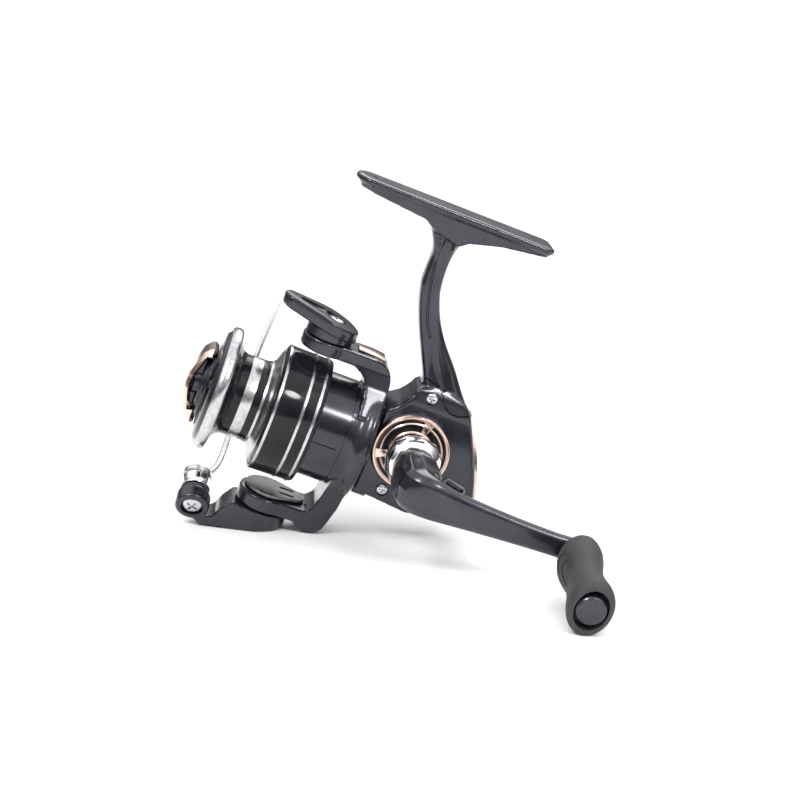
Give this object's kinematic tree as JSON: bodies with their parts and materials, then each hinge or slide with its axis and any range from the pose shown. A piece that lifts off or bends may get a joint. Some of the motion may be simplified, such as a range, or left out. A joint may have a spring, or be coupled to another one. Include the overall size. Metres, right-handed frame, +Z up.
{
  "type": "spinning reel",
  "caption": "Small open-face spinning fishing reel with a fixed spool, folding bail wire, side crank and stem-mounted foot.",
  "frame": {"origin": "centre of the bounding box, on the surface that the reel lies on", "axes": "+Z up from that surface, +X to the back of the reel, away from the spool, -Y to the crank handle's side"},
  "size_m": [0.1042, 0.1074, 0.096],
  "materials": {
    "gunmetal_paint": "dark satin pearl paint",
    "rose_gold": "polished anodised",
    "dark_plastic": "matte",
    "rubber": "matte",
    "chrome": "polished",
    "steel": "bright",
    "brass": "satin",
    "zinc": "as cast",
    "black_gloss": "gloss black anodised",
    "felt": "felt"
  },
  "bodies": {
    "housing": {"reel_body": "gunmetal_paint", "side_cover": "gunmetal_paint", "boss_ring": "rose_gold", "rear_trim": "rose_gold", "cover_screw_upper": "steel", "cover_screw_front": "steel", "cover_screw_rear": "steel", "gear_bearing_left": "steel", "gear_bearing_right": "steel", "pinion_bearing": "steel", "slider_guide_rod": "steel", "clutch_outer_ring": "steel", "clutch_roller_cage": "dark_plastic"},
    "anti_reverse": {"anti_reverse_lever": "dark_plastic"},
    "crank": {"drive_gear": "zinc", "handle_shaft": "steel", "shaft_cap": "gunmetal_paint", "handle_collar": "chrome", "handle_arm": "gunmetal_paint", "knob_axle": "steel"},
    "knob": {"handle_knob": "rubber", "knob_bush": "brass", "knob_cap": "gunmetal_paint"},
    "oscillation": {"oscillation_gear": "zinc"},
    "rotor_group": {"rotor": "gunmetal_paint", "pinion_gear": "brass", "rotor_nut": "brass", "clutch_sleeve": "steel", "rotor_arm_plate": "zinc", "rotor_arm_trim": "rose_gold", "bail_spring": "steel"},
    "bail_trip": {"bail_trip_lever": "steel"},
    "bail": {"bail_holder": "gunmetal_paint", "bail_arm": "gunmetal_paint", "bail_wire": "chrome", "bail_screw_upper": "steel", "bail_screw_lower": "steel", "roller_screw": "steel", "roller_bush": "dark_plastic"},
    "roller": {"line_roller": "chrome"},
    "shaft_group": {"main_shaft": "steel", "oscillation_slider": "dark_plastic", "click_ratchet": "dark_plastic", "spool_washer": "brass"},
    "spool_group": {"spool": "black_gloss", "spool_lip": "chrome", "drag_washer_rear": "felt", "drag_washer_keyed": "steel", "drag_washer_front": "felt", "drag_pressure_plate": "steel", "drag_clip": "steel"},
    "drag": {"drag_knob": "gunmetal_paint", "drag_knob_shell": "rose_gold", "drag_spring": "steel"}
  },
  "joints": [
    {"name": "crank", "type": "hinge", "parent": "housing", "child": "crank", "pos_m": [0.00774, 0.00776, 0.02561], "axis": [0, -0.9938, -0.1115], "continuous": true},
    {"name": "knob_spin", "type": "hinge", "parent": "crank", "child": "knob", "pos_m": [0.04632, -0.03481, 0.00886], "axis": [-0.0618, -0.989, -0.1341], "continuous": true},
    {"name": "rotor_spin", "type": "hinge", "parent": "housing", "child": "rotor_group", "pos_m": [-0.01264, 0.01651, 0.02834], "axis": [-0.9563, -0.0326, 0.2906], "continuous": true},
    {"name": "oscillation_spin", "type": "hinge", "parent": "housing", "child": "oscillation", "pos_m": [0.01566, 0.0135, 0.01929], "axis": [0, -0.9938, -0.1115], "continuous": true},
    {"name": "bail_swing", "type": "hinge", "parent": "rotor_group", "child": "bail", "pos_m": [-0.02182, 0.0162, 0.03113], "axis": [0.2924, -0.1066, 0.9503], "range_deg": [0, 110]},
    {"name": "line_roller_spin", "type": "hinge", "parent": "bail", "child": "roller", "pos_m": [-0.04729, 0.02031, 0.00951], "axis": [0.0433, 0.8569, 0.5137], "continuous": true},
    {"name": "trip_slide", "type": "slide", "parent": "rotor_group", "child": "bail_trip", "axis": [0.9563, 0.0326, -0.2906], "range_m": [-0.0001, 0.0017]},
    {"name": "main_shaft_slide", "type": "slide", "parent": "housing", "child": "shaft_group", "axis": [-0.9563, -0.0326, 0.2906], "range_m": [-0.0037, 0.0037]},
    {"name": "spool_slip", "type": "hinge", "parent": "shaft_group", "child": "spool_group", "pos_m": [-0.03559, 0.01573, 0.03531], "axis": [-0.9563, -0.0326, 0.2906], "continuous": true},
    {"name": "drag_turn", "type": "hinge", "parent": "shaft_group", "child": "drag", "pos_m": [-0.04898, 0.01528, 0.03938], "axis": [-0.9563, -0.0326, 0.2906], "range_deg": [-540, 180]},
    {"name": "anti_reverse_swing", "type": "hinge", "parent": "housing", "child": "anti_reverse", "pos_m": [-0.00272, 0.01785, 0.01639], "axis": [-0.9563, -0.0326, 0.2906], "range_deg": [0, 24]}
  ],
  "couplings": [
    {"joint": "rotor_spin", "follows": "crank", "ratio": 4.5},
    {"joint": "oscillation_spin", "follows": "crank", "ratio": -0.5},
    {"joint": "trip_slide", "follows": "bail_swing", "m_per_rad": 0.0007813}
  ]
}
